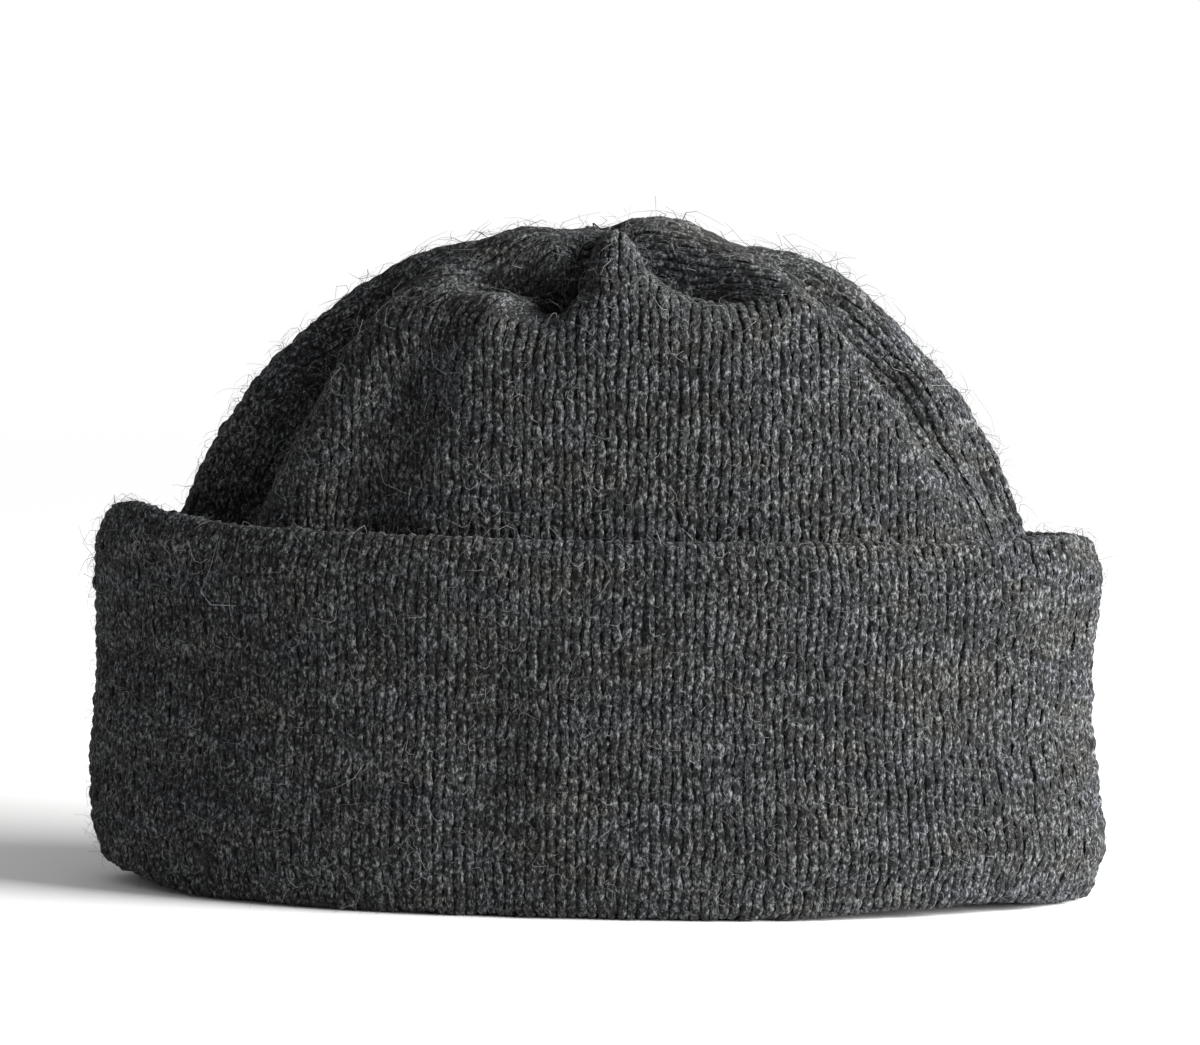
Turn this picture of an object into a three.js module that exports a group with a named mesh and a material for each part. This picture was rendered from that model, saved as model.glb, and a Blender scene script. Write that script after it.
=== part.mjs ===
// A charcoal wool beanie, knitted double and standing on its turned-up cuff.
// Two pieces: the crown, a hollow dome gathered to a tip with dents and side folds,
// and the cuff, which turns round at the rim and stands up outside the crown.
// Millimetres, +Z up, X to the right and -Y to the front. The origin is under the middle, on the table.
import * as THREE from "three";

// driving dimensions
const wall = 4.6; // two layers of knit
const leafGap = 0.8; // between the crown and the cuff where the knit turns round
const buttGap = 0.3; // between the crown's lower edge and the cuff's inner leaf
const innerLeafHeight = 14;
const rimFlat = 3.4; // width that the knit flattens to where it stands
const cuffHeight = 83.4;
const planWidthPower = 2.3; // powers of the plans' outlines, where 2 and 2 would be an ellipse
const cuffDepthPower = 1.6; // less makes the two ends more pointed
const columns = 84; // facets round the hat

// the crown before its folds: half sizes at its widest level, and how full its two outlines are
const crown = { halfWidth: 99, halfDepth: 39.4, widestLevel: 40, top: 146.6, widthPower: 2.2, depthPower: 2.6, planDepthPower: 1.85 };

// the cuff's outer face, from the rim up: how far it reaches to the left, the right and the front
const cuffSections = [
  { level: 5.0, left: 110.2, right: 110.4, depth: 44.6 },
  { level: 12.0, left: 112.2, right: 112.6, depth: 45.4 },
  { level: 21.0, left: 112.6, right: 111.4, depth: 45.6 },
  { level: 38.0, left: 111.8, right: 109.4, depth: 45.2 },
  { level: 56.0, left: 111.4, right: 108.6, depth: 44.9 },
  { level: 68.0, left: 112.2, right: 109.8, depth: 45.0 },
  { level: 76.0, left: 112.0, right: 109.8, depth: 44.6 },
  { level: cuffHeight - wall / 2, left: 109.8, right: 108.2, depth: 43.8 },
];

// Places where the cuff stands higher or lower than its levels say, at its rim and at its top edge.
// Directions are plan angles in degrees, with 0 to the right and -90 at the front.
const cuffLifts = [
  { name: "left end", direction: -176, halfSpread: 40, rim: 3.8, top: 4.4 },
  { name: "right of the front", direction: -42, halfSpread: 34, rim: 2.2, top: -0.6 },
  { name: "back", direction: 90, halfSpread: 130, rim: 0, top: -6.5 },
  { name: "left corner", direction: 180, halfSpread: 22, rim: 0, top: -3.2 },
  { name: "right corner", direction: 0, halfSpread: 22, rim: 0.8, top: -1.4 },
];

// soft dents of the cuff, where levels are heights above the table
const cuffDents = [
  { name: "front dent", direction: -100, halfSpread: 7, low: -12, deepest: 24, high: 66, depth: 2.1 },
  { name: "right crease", direction: -22, halfSpread: 36, low: 27, deepest: 38, high: 52, depth: 1.3 },
  { name: "back dent", direction: 82, halfSpread: 8, low: -12, deepest: 30, high: 72, depth: 1.5 },
];

// Folds of the crown, where a depth below 0 stands out. Descents are degrees from the tip, with 90 at the widest
// level. A fold runs from topDirection, where it starts, to lowDirection, where it is deepest.
const crownFolds = [
  { name: "front left pit", topDirection: -114, lowDirection: -118, halfSpread: 27, start: 11, deepest: 20, end: 31, depth: 9.5 },
  { name: "front left hollow", topDirection: -104, lowDirection: -103, halfSpread: 13, start: 5, deepest: 20, end: 42, depth: 14.0 },
  { name: "front left crease", topDirection: -98, lowDirection: -103, halfSpread: 14, start: 1, deepest: 9, end: 19, depth: 3.4 },
  { name: "front right pit", topDirection: -63, lowDirection: -60, halfSpread: 28, start: 4, deepest: 17, end: 37, depth: 11.0 },
  { name: "front right crease", topDirection: -68, lowDirection: -64, halfSpread: 18, start: 0, deepest: 9, end: 24, depth: 4.0 },
  { name: "back left pit", topDirection: 128, lowDirection: 116, halfSpread: 30, start: 3, deepest: 20, end: 46, depth: 9.0 },
  { name: "back right pit", topDirection: 50, lowDirection: 62, halfSpread: 30, start: 6, deepest: 24, end: 50, depth: 9.5 },
  { name: "left lobe crease", topDirection: -122, lowDirection: -129, halfSpread: 18, start: 13, deepest: 20, end: 27, depth: 8.0 },
  { name: "left lobe", topDirection: -138, lowDirection: -142, halfSpread: 38, start: 4, deepest: 12, end: 20, depth: -2.8 },
  { name: "front ridge", topDirection: -85, lowDirection: -88, halfSpread: 20, start: 1, deepest: 9, end: 22, depth: -2.4 },
  { name: "left shoulder", topDirection: 172, lowDirection: 172, halfSpread: 50, start: 10, deepest: 24, end: 38, depth: -1.2 },
  { name: "right shoulder", topDirection: -8, lowDirection: -8, halfSpread: 48, start: 12, deepest: 26, end: 42, depth: -3.2 },
  { name: "hump", topDirection: 10, lowDirection: 10, halfSpread: 100, start: -4, deepest: 5, end: 16, depth: -3.4 },
  { name: "left side fold", topDirection: -176, lowDirection: -157, halfSpread: 19, start: 8, deepest: 50, end: 122, depth: 16.0 },
  { name: "right side fold", topDirection: -24, lowDirection: -29, halfSpread: 13, start: 12, deepest: 44, end: 78, depth: 7.0 },
  { name: "right lower fold", topDirection: -20, lowDirection: -12, halfSpread: 16, start: 44, deepest: 62, end: 92, depth: 5.0 },
  { name: "front left dent", topDirection: -126, lowDirection: -122, halfSpread: 12, start: 22, deepest: 56, end: 104, depth: 5.6 },
  { name: "back dent", topDirection: 98, lowDirection: 96, halfSpread: 10, start: 40, deepest: 62, end: 96, depth: 2.4 },
];

const radians = THREE.MathUtils.degToRad;
const ease = (x) => 0.5 - 0.5 * Math.cos(Math.PI * THREE.MathUtils.clamp(x, 0, 1));

// 1 in the middle, 0 at the ends, smooth between
function rise(x, start, middle, end) {
  return x < middle ? ease((x - start) / (middle - start)) : ease((end - x) / (end - middle));
}

// shortest way between two directions, in degrees
function turn(from, to) {
  return THREE.MathUtils.euclideanModulo(to - from + 180, 360) - 180;
}

// where a plan direction meets the plan's outline, scaled to a half size of 1
function planPoint(direction, depthPower) {
  const c = Math.cos(radians(direction));
  const s = Math.sin(radians(direction));
  return [Math.sign(c) * Math.abs(c) ** (2 / planWidthPower), Math.sign(s) * Math.abs(s) ** (2 / depthPower)];
}

// 1 in the middle of a spread of directions, 0 at its ends
function acrossSpread(row, middle, direction) {
  return ease(1 - Math.abs(turn(middle, direction)) / row.halfSpread);
}

function foldDepth(direction, descent) {
  let depth = 0;
  for (const f of crownFolds) {
    const along = THREE.MathUtils.clamp((descent - f.start) / (f.deepest - f.start), 0, 1);
    const middle = f.topDirection + turn(f.topDirection, f.lowDirection) * along;
    depth += f.depth * acrossSpread(f, middle, direction) * rise(descent, f.start, f.deepest, f.end);
  }
  return depth;
}

function dentDepth(direction, level) {
  let depth = 0;
  for (const d of cuffDents) depth += d.depth * acrossSpread(d, d.direction, direction) * rise(level, d.low, d.deepest, d.high);
  return depth;
}

function cuffLift(direction, level) {
  let lift = 0;
  for (const l of cuffLifts) lift += acrossSpread(l, l.direction, direction) * THREE.MathUtils.lerp(l.rim, l.top, level / cuffHeight);
  return lift;
}

// a column of the cuff's sections at any level, by a smooth curve through the rows
function sectionAt(level, column) {
  const rows = cuffSections;
  const last = rows.length - 1;
  const at = THREE.MathUtils.clamp(level, rows[0].level, rows[last].level);
  const i = Math.min(Math.max(rows.findIndex((row) => row.level > at) - 1, at < rows[last].level ? 0 : last - 1), last - 1);
  const slope = (k) => {
    const [low, high] = [rows[Math.max(k - 1, 0)], rows[Math.min(k + 1, last)]];
    return (high[column] - low[column]) / (high.level - low.level);
  };
  const step = rows[i + 1].level - rows[i].level;
  const u = (at - rows[i].level) / step;
  const ends = rows[i][column] * (1 + 2 * u) * (1 - u) ** 2 + rows[i + 1][column] * (3 - 2 * u) * u ** 2;
  return ends + step * u * (1 - u) * (slope(i) * (1 - u) - slope(i + 1) * u);
}

// the cuff's outer face, or a face that lies inset behind it
function cuffPoint(direction, level, inset) {
  const side = Math.cos(radians(direction)) < 0 ? "left" : "right";
  const back = inset + dentDepth(direction, level);
  const [x, y] = planPoint(direction, cuffDepthPower);
  const reach = sectionAt(level, side) - back;
  const depth = sectionAt(level, "depth") - back;
  return new THREE.Vector3(x * reach, y * depth, level + cuffLift(direction, level));
}

// The crown before its folds. Descents past 90 go straight down to the crown's lower edge.
const lowerEdge = innerLeafHeight + buttGap;
const lowestDescent = 120;
const lowering = (descent) => THREE.MathUtils.clamp((descent - 90) / (lowestDescent - 90), 0, 1);
const flaring = (descent) => 2 * ease(lowering(descent) / 2); // leaves the widest level upright

function smoothCrownPoint(direction, descent, inset) {
  const [x, y] = planPoint(direction, crown.planDepthPower);
  const d = radians(THREE.MathUtils.clamp(descent, 0, 90));
  const share = Math.max(Math.cos(d), 0) ** (2 / crown.widthPower);
  const width = Math.sin(d) ** (2 / crown.widthPower) * (crown.halfWidth - inset);
  const depth = (1 - share ** crown.depthPower) ** (1 / crown.depthPower) * (crown.halfDepth - inset);
  const point = new THREE.Vector3(x * width, y * depth, crown.widestLevel + share * (crown.top - inset - crown.widestLevel));
  const edge = cuffPoint(direction, lowerEdge, wall + leafGap + inset);
  point.x = THREE.MathUtils.lerp(point.x, edge.x, flaring(descent));
  point.y = THREE.MathUtils.lerp(point.y, edge.y, flaring(descent));
  point.z = THREE.MathUtils.lerp(point.z, edge.z, lowering(descent));
  return point;
}

// The folded crown: the smooth one, pushed in along its own normal. The cuff's dents press it in too.
function crownPoint(direction, descent, inset) {
  const point = smoothCrownPoint(direction, descent, inset);
  const step = 0.5; // degrees
  const high = Math.max(descent, step * 2);
  const round = smoothCrownPoint(direction + step, high, inset).sub(smoothCrownPoint(direction - step, high, inset));
  const upward = smoothCrownPoint(direction, high - step, inset).sub(smoothCrownPoint(direction, high + step, inset));
  const normal = descent <= 0 ? new THREE.Vector3(0, 0, 1) : round.cross(upward).normalize();
  const pressed = dentDepth(direction, point.z) * (1 - flaring(descent));
  return point.addScaledVector(normal, -foldDepth(direction, descent) - pressed);
}

// A mesh from rings of points, where a ring of one point is a pole. Closed, the last ring joins the first.
function skin(rings, closed) {
  const positions = [];
  const starts = [];
  for (const ring of rings) {
    starts.push(positions.length / 3);
    for (const p of ring) positions.push(p.x, p.y, p.z);
  }
  const index = [];
  const bands = closed ? rings.length : rings.length - 1;
  for (let r = 0; r < bands; r++) {
    const next = (r + 1) % rings.length;
    for (let c = 0; c < columns; c++) {
      const d = (c + 1) % columns;
      const at = (ring, column) => starts[ring] + (rings[ring].length === 1 ? 0 : column);
      if (rings[r].length > 1) index.push(at(r, c), at(r, d), at(next, d));
      if (rings[next].length > 1) index.push(at(r, c), at(next, d), at(next, c));
    }
  }
  const geometry = new THREE.BufferGeometry();
  geometry.setAttribute("position", new THREE.Float32BufferAttribute(positions, 3));
  geometry.setIndex(index);
  geometry.computeVertexNormals();
  return geometry;
}

// one ring of points, where place gives the point for a direction
function ringOf(place) {
  return Array.from({ length: columns }, (_, c) => place((360 * c) / columns));
}

// The crown, from its inner pole down the inside, round the lower edge and up the outside to the tip.
function crownGeometry() {
  const inner = [5, 9, 13, 17, 21, 25, 30, 36, 43, 51, 60, 70, 80, 92, 106, lowestDescent];
  const outer = [lowestDescent, 108, 96, 86, 77, 69, 62, 56, 50, 44, 38.5, 33.5, 29, 25, 21, 17.5, 14, 11, 8, 5, 2.5];
  const rings = [[crownPoint(0, 0, wall)]];
  for (const descent of inner) rings.push(ringOf((direction) => crownPoint(direction, descent, wall)));
  for (const descent of outer) rings.push(ringOf((direction) => crownPoint(direction, descent, 0)));
  rings.push([crownPoint(0, 0, 0)]);
  return skin(rings, false);
}

// The cuff's section, followed from the flattened rim up the outside, over the top and down to the inner leaf.
function cuffGeometry() {
  const rimThickness = 2 * wall + leafGap;
  const rimRadius = rimThickness / 2;
  const place = (inset, level) => ringOf((direction) => cuffPoint(direction, level, inset));
  const rings = [];
  const arc = (inset, level, radius, width, from, to, steps) => {
    for (let i = 0; i <= steps; i++) {
      const a = radians(from + ((to - from) * i) / steps);
      rings.push(place(inset + width * Math.cos(a), level + radius * Math.sin(a)));
    }
  };
  const cornerWidth = (rimThickness - rimFlat) / 2;
  arc(cornerWidth, rimRadius, rimRadius, cornerWidth, 270, 180, 3); // outer corner of the rim
  for (const s of cuffSections.slice(1, -1)) rings.push(place(0, s.level));
  arc(wall / 2, cuffHeight - wall / 2, wall / 2, wall / 2, 180, 0, 4); // over the top of the leaf
  for (const level of [68, 56, 38, 21, 12, wall + 1.2]) rings.push(place(wall, level));
  rings.push(place(wall + leafGap, wall + 1.2));
  rings.push(place(wall + leafGap, innerLeafHeight));
  rings.push(place(rimThickness, innerLeafHeight));
  arc(rimThickness - cornerWidth, rimRadius, rimRadius, cornerWidth, 360, 270, 3); // inner corner of the rim
  return skin(rings, true);
}

function knitted(name, geometry, colour) {
  const mesh = new THREE.Mesh(geometry, new THREE.MeshStandardMaterial({ color: colour, roughness: 0.95, metalness: 0 }));
  mesh.name = name;
  return mesh;
}

const beanie = new THREE.Group();
beanie.add(knitted("crown", crownGeometry(), 0x4a4b4c));
beanie.add(knitted("cuff", cuffGeometry(), 0x454748));

export default beanie;
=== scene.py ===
import math
import bpy
import numpy as np
from mathutils import Matrix, Vector


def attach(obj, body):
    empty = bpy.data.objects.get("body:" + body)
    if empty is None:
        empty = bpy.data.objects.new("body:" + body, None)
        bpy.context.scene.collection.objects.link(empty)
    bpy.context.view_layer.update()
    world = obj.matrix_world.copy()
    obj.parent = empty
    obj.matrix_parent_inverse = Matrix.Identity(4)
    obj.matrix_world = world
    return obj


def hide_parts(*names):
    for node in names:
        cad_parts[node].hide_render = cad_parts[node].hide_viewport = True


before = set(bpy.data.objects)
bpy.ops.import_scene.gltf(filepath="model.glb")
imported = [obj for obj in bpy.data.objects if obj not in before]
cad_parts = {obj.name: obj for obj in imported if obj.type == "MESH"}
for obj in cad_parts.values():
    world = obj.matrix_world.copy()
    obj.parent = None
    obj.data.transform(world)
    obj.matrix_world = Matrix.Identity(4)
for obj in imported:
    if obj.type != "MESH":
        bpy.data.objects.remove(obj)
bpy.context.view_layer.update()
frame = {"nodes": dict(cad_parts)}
print("frame loaded:", ", ".join(frame["nodes"]))

mm = 0.001  # the tables below hold millimetres

# the hat's form: directions are plan angles in degrees, 0 to the right and -90 to the front
cloth = {
    "wall": 4.6,
    "ground": 1.25,  # how deep the backing skin lies under the face of the stitches
    "leafGap": 0.8,
    "planWidthPower": 2.3,
}
crown = {
    "halfWidth": 99.0,
    "halfDepth": 39.4,
    "widestLevel": 40.0,
    "top": 146.6,
    "widthPower": 2.2,
    "depthPower": 2.6,
    "planDepthPower": 1.85,
    "lowerEdge": 14.3,
    "lowestDescent": 120.0,
}
cuff = {
    "height": 83.4,
    "depthPower": 1.6,
    "rimLevel": 1.2,  # the lowest part of the backing skin
    "rimFlat": 3.3,
    "rimCorner": 5.0,
    "rimWidth": 10.0,  # both layers and the gap between them
    "slotBottom": 5.8,
    "leafMiddle": 9.0,
    "leafHeight": 14.0,
    "leafCorner": 0.6,
    "sections": (  # level, left, right, depth
        (5.0, 110.2, 110.4, 44.6),
        (12.0, 112.2, 112.6, 45.4),
        (21.0, 112.6, 111.4, 45.6),
        (38.0, 111.8, 109.4, 45.2),
        (56.0, 111.4, 108.6, 44.9),
        (68.0, 112.2, 109.8, 45.0),
        (76.0, 112.0, 109.8, 44.6),
        (81.1, 109.8, 108.2, 43.8),
    ),
    "lifts": (  # direction, halfSpread, rim, top
        (184, 40, 3.8, 4.4),
        (-42, 34, 2.2, -0.6),
        (90, 130, 0.0, -6.5),
        (180, 22, 0.0, -3.2),
        (0, 22, 0.8, -1.4),
    ),
    "dents": (  # direction, halfSpread, low, deepest, high, depth
        (-100, 7, -12, 24, 66, 2.1),
        (-22, 36, 27, 38, 52, 1.3),
        (82, 8, -12, 30, 72, 1.5),
    ),
}
crownFolds = (  # topDirection, lowDirection, halfSpread, start, deepest, end, depth
    (-114, -118, 27, 11, 20, 31, 9.5),  # the deep pit left of the gathered tip
    (-104, -103, 13, 5, 20, 42, 14.0),
    (-98, -103, 14, 1, 9, 19, 3.4),
    (-63, -60, 28, 4, 17, 37, 11.0),  # the wide pit right of the tip
    (-68, -64, 18, 0, 9, 24, 4.0),
    (128, 116, 30, 3, 20, 46, 9.0),  # back pits
    (50, 62, 30, 6, 24, 50, 9.5),
    (-122, -129, 18, 13, 20, 27, 8.0),  # the puffed lobe above the left pit
    (-138, -142, 38, 4, 12, 20, -2.8),
    (-85, -88, 20, 1, 9, 22, -2.4),  # the ridge that runs down the front from the tip
    (172, 172, 50, 10, 24, 38, -1.2),  # shoulders
    (-8, -8, 48, 12, 26, 42, -3.2),
    (10, 10, 100, -4, 5, 16, -3.4),  # hump right of the tip
    (-176, -157, 19, 8, 50, 122, 16.0),  # side folds
    (-24, -29, 13, 12, 44, 78, 7.0),
    (-20, -12, 16, 44, 62, 92, 5.0),
    (-126, -122, 12, 22, 56, 104, 5.6),  # soft dents
    (98, 96, 10, 40, 62, 96, 2.4),
)


def ease(share):
    return 0.5 - 0.5 * np.cos(np.pi * np.clip(share, 0, 1))


def riseAndFall(x, start, middle, end):
    return np.where(x < middle, ease((x - start) / (middle - start)), ease((end - x) / (end - middle)))


def turnTo(a, b):
    return (b - a + 180) % 360 - 180


def planPoint(direction, depthPower):
    across = np.cos(np.radians(direction))
    inward = np.sin(np.radians(direction))
    x = np.sign(across) * np.abs(across) ** (2 / cloth["planWidthPower"])
    y = np.sign(inward) * np.abs(inward) ** (2 / depthPower)
    return x, y


def foldDepth(direction, descent):
    total = 0
    for top, low, halfSpread, start, deepest, end, depth in crownFolds:
        along = np.clip((descent - start) / (deepest - start), 0, 1)
        middle = top + turnTo(top, low) * along
        across = ease(1 - np.abs(turnTo(middle, direction)) / halfSpread)
        total = total + depth * across * riseAndFall(descent, start, deepest, end)
    return total


def dentDepth(direction, level):
    total = 0
    for middle, halfSpread, low, deepest, high, depth in cuff["dents"]:
        across = ease(1 - np.abs(turnTo(middle, direction)) / halfSpread)
        total = total + depth * across * riseAndFall(level, low, deepest, high)
    return total


def cuffLift(direction, level):
    total = 0
    for middle, halfSpread, rim, top in cuff["lifts"]:
        across = ease(1 - np.abs(turnTo(middle, direction)) / halfSpread)
        total = total + across * (rim + (top - rim) * level / cuff["height"])
    return total


def sectionAt(level, column):
    # smooth curve through one column of the cuff's sections
    table = np.array(cuff["sections"])
    levels, values = table[:, 0], table[:, column]
    slopes = np.array([
        (values[min(i + 1, len(levels) - 1)] - values[max(i - 1, 0)])
        / (levels[min(i + 1, len(levels) - 1)] - levels[max(i - 1, 0)])
        for i in range(len(levels))
    ])
    at = np.clip(level, levels[0], levels[-1])
    i = np.clip(np.searchsorted(levels, at, side="right") - 1, 0, len(levels) - 2)
    step = levels[i + 1] - levels[i]
    u = (at - levels[i]) / step
    ends = values[i] * (1 + 2 * u) * (1 - u) ** 2 + values[i + 1] * u * u * (3 - 2 * u)
    return ends + step * u * (1 - u) * (slopes[i] * (1 - u) - slopes[i + 1] * u)


def cuffPoint(direction, level, inset):
    direction, level, inset = np.broadcast_arrays(direction, level, inset)
    back = inset + dentDepth(direction, level)
    side = np.where(np.cos(np.radians(direction)) < 0, sectionAt(level, 1), sectionAt(level, 2))
    x, y = planPoint(direction, cuff["depthPower"])
    return np.stack([
        x * (side - back),
        y * (sectionAt(level, 3) - back),
        level + cuffLift(direction, level),
    ], -1)


def crownLowering(descent):
    return np.clip((descent - 90) / (crown["lowestDescent"] - 90), 0, 1)


def crownFlaring(descent):
    return 2 * ease(crownLowering(descent) / 2)


def smoothCrownPoint(direction, descent, inset):
    x, y = planPoint(direction, crown["planDepthPower"])
    angle = np.radians(np.clip(descent, 0, 90))
    share = np.clip(np.cos(angle), 0, 1) ** (2 / crown["widthPower"])
    width = np.sin(angle) ** (2 / crown["widthPower"]) * (crown["halfWidth"] - inset)
    depth = (1 - share ** crown["depthPower"]) ** (1 / crown["depthPower"]) * (crown["halfDepth"] - inset)
    z = crown["widestLevel"] + share * (crown["top"] - inset - crown["widestLevel"])
    point = np.stack([x * width, y * depth, z + 0 * x], -1)
    edge = cuffPoint(direction, crown["lowerEdge"], cloth["wall"] + cloth["leafGap"] + inset)
    mix = np.stack([crownFlaring(descent), crownFlaring(descent), crownLowering(descent)], -1)
    return point + (edge - point) * mix


def crownPoint(direction, descent, inset):
    direction, descent, inset = np.broadcast_arrays(
        np.asarray(direction, float), np.asarray(descent, float), inset)
    point = smoothCrownPoint(direction, descent, inset)
    step = 0.5  # degrees
    below = np.maximum(descent, 2 * step)
    across = (smoothCrownPoint(direction + step, below, inset)
              - smoothCrownPoint(direction - step, below, inset))
    upward = (smoothCrownPoint(direction, below - step, inset)
              - smoothCrownPoint(direction, below + step, inset))
    normal = np.cross(across, upward)
    normal /= np.linalg.norm(normal, axis=-1, keepdims=True)
    normal = np.where((descent <= 0)[..., None], (0, 0, 1), normal)
    dents = dentDepth(direction, point[..., 2]) * (1 - crownFlaring(descent))
    return point - normal * (foldDepth(direction, descent) + dents)[..., None]


def newPiece(name, points, faces):
    mesh = bpy.data.meshes.new(name)
    mesh.from_pydata((np.asarray(points) * mm).tolist(), [], faces)
    mesh.polygons.foreach_set("use_smooth", [True] * len(mesh.polygons))
    mesh.update()
    piece = bpy.data.objects.new(name, mesh)
    bpy.context.scene.collection.objects.link(piece)
    return piece


def closedSkin(name, rings, poles):
    # rings of points, each joined to the next
    # with poles the two ends close in a fan, else the last ring meets the first
    rows, columns = rings.shape[:2]
    points = rings.reshape(-1, 3).tolist()
    faces, corners = [], []
    for row in range(rows - 1 if poles else rows):
        below = (row + 1) % rows
        for column in range(columns):
            beside = (column + 1) % columns
            faces.append((row * columns + column, below * columns + column,
                          below * columns + beside, row * columns + beside))
            corners += [(column, row + 1), (column, row + 2), (column + 1, row + 2), (column + 1, row + 1)]
    if poles:
        for row, at in ((0, poles[0]), (rows - 1, poles[1])):
            points.append(at)
            for column in range(columns):
                beside = (column + 1) % columns
                pair = (row * columns + column, row * columns + beside)
                faces.append((len(points) - 1, *(pair if row == 0 else pair[::-1])))
                ends = [(column, row + 1), (column + 1, row + 1)]
                corners += [(column + 0.5, 0 if row == 0 else rows + 1), *(ends if row == 0 else ends[::-1])]
    piece = newPiece(name, points, faces)
    layer = piece.data.uv_layers.new(name="OFBake")  # u runs round the hat, v along the section
    layer.data.foreach_set("uv", (np.array(corners) / (columns, rows + 1)).astype(np.float32).ravel())
    return piece


skin = {
    "columns": 180,
    "crownRows": 70,
    "cuffRows": 30,
    "rollSteps": 7,
    "firstDescent": 0.5,
}


def crownSkin():
    directions = np.linspace(0, 360, skin["columns"], endpoint=False)
    down = np.linspace(skin["firstDescent"], crown["lowestDescent"], skin["crownRows"])
    outer = crownPoint(directions[None, :], down[:, None], cloth["ground"])
    inner = crownPoint(directions[None, :], down[::-1, None], cloth["wall"])
    poles = [crownPoint(0, 0, inset).tolist() for inset in (cloth["ground"], cloth["wall"])]
    return closedSkin("crown_skin", np.concatenate([outer, inner]), poles)


def cuffSkin():
    directions = np.linspace(0, 360, skin["columns"], endpoint=False)
    middle = (cloth["ground"] + cloth["wall"]) / 2
    half = (cloth["wall"] - cloth["ground"]) / 2
    top = cuff["height"] - cloth["wall"] / 2
    levels = np.linspace(cuff["rimCorner"], top, skin["cuffRows"])
    rimRise = cuff["rimCorner"] - cuff["rimLevel"]
    rows = []  # level and inset of each ring
    for share in np.linspace(0, 1, skin["rollSteps"]):  # the rim's outer corner
        angle = share * math.pi / 2
        inset = cloth["ground"] + (cuff["rimFlat"] - cloth["ground"]) * (1 - math.sin(angle))
        rows.append((cuff["rimLevel"] + rimRise * (1 - math.cos(angle)), inset))
    rows += [(level, cloth["ground"]) for level in levels[1:]]
    for angle in np.linspace(0, math.pi, skin["rollSteps"])[1:]:  # over the top edge
        rows.append((top + half * math.sin(angle), middle - half * math.cos(angle)))
    rows += [(level, cloth["wall"]) for level in levels[::-1][1:-1]]
    leafFace = cloth["wall"] + cloth["leafGap"]
    leafEdge = cuff["leafHeight"] - cuff["leafCorner"]
    slot = cloth["leafGap"] / 2
    rows += [(cuff["slotBottom"] + slot, cloth["wall"]), (cuff["slotBottom"], cloth["wall"] + slot),
             (cuff["slotBottom"] + slot, leafFace)]
    rows += [(level, leafFace) for level in (cuff["leafMiddle"], leafEdge)]
    rows += [(cuff["leafHeight"], leafFace + cuff["leafCorner"]),
             (cuff["leafHeight"], cuff["rimWidth"] - cuff["leafCorner"])]
    rows += [(level, cuff["rimWidth"]) for level in (leafEdge, cuff["leafMiddle"])]
    for share in np.linspace(1, 0, skin["rollSteps"]):  # the rim's inner corner
        angle = share * math.pi / 2
        inset = cuff["rimWidth"] - cuff["rimFlat"] * (1 - math.sin(angle))
        rows.append((cuff["rimLevel"] + rimRise * (1 - math.cos(angle)), inset))
    rings = np.array([cuffPoint(directions, level, inset) for level, inset in rows])
    return closedSkin("cuff_skin", rings[::-1], None)


# the knit: stitches are laid out flat, then wrapped onto the form
stitch = {
    "waleWidth": 4.5,
    "courseHeight": 2.71,
    "yarnWidth": 2.05,
    "yarnHeight": 1.25,
    "footSpread": 0.13,  # shares of the wale's width
    "headSpread": 0.33,
    "start": -0.3,  # shares of the course's height
    "reach": 1.62,
    "dip": 0.9,
    "behind": 8.0,  # the stitches reach this far down behind the cuff's top edge
    "spare": 6.0,  # the line that they follow runs on this far past them
    "tipGap": 2.4,
    "seamGap": 0.3,  # share of a wale that stays free at the crown's seams
    "crownStart": 72.0,  # level of the crown's lowest stitches, hidden behind the cuff
    "softness": 0.55,  # how far the yarn's shading leans to that of plain cloth, as felted wool's does
    "depth": 0.66,  # the yarn's middle lies this deep under the cloth's face
    "rimInset": 0.3,  # at the rim the yarn turns this much further in than the skin
    "overTable": 0.1,
    "pressed": 0.2,  # what meets the table is pressed flat at this level
    "unevenness": 0.17,  # share of the next three
    "shift": (0.0012, 0.0008, 0.0016),  # metres
    "tilt": (0.6, 0.6, 0.8),  # radians
    "swell": (0.6, 0.7, 0.7),
    "waver": 0.2,  # how far the wales stray to the sides, in millimetres
    "waves": ((0.23, 0.29, 1.0), (0.67, -0.17, 0.6)),  # radians for a millimetre up and across, and share
    "sides": 5,
    "steps": 4,
}


def connect(tree, node, inputs):
    for key, value in inputs.items():
        socket = node.inputs[key]
        if isinstance(value, bpy.types.NodeSocket):
            tree.links.new(value, socket)
        else:
            socket.default_value = value


def addNode(tree, kind, inputs=None, **settings):
    node = tree.nodes.new(kind)
    for name, value in settings.items():
        setattr(node, name, value)
    connect(tree, node, inputs or {})
    return node


def addMath(tree, operation, *values):
    return addNode(tree, "ShaderNodeMath", dict(enumerate(values)), operation=operation).outputs[0]


def addVector(tree, operation, *values):
    return addNode(tree, "ShaderNodeVectorMath", dict(enumerate(values)), operation=operation).outputs[0]


def scaled(tree, vector, factor):
    return addNode(tree, "ShaderNodeVectorMath", {0: vector, 3: factor}, operation="SCALE").outputs[0]


def combined(tree, *parts):
    return addNode(tree, "ShaderNodeCombineXYZ", dict(enumerate(parts))).outputs[0]


def addSockets(tree, inputs, outputs):
    # both hold pairs of a socket's kind and the names of that kind; gives back what the group is given
    for direction, table in (("INPUT", inputs), ("OUTPUT", outputs)):
        for kind, names in table:
            for name in names:
                tree.interface.new_socket(name, in_out=direction, socket_type="NodeSocket" + kind)
    return tree.nodes.new("NodeGroupInput").outputs


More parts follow.
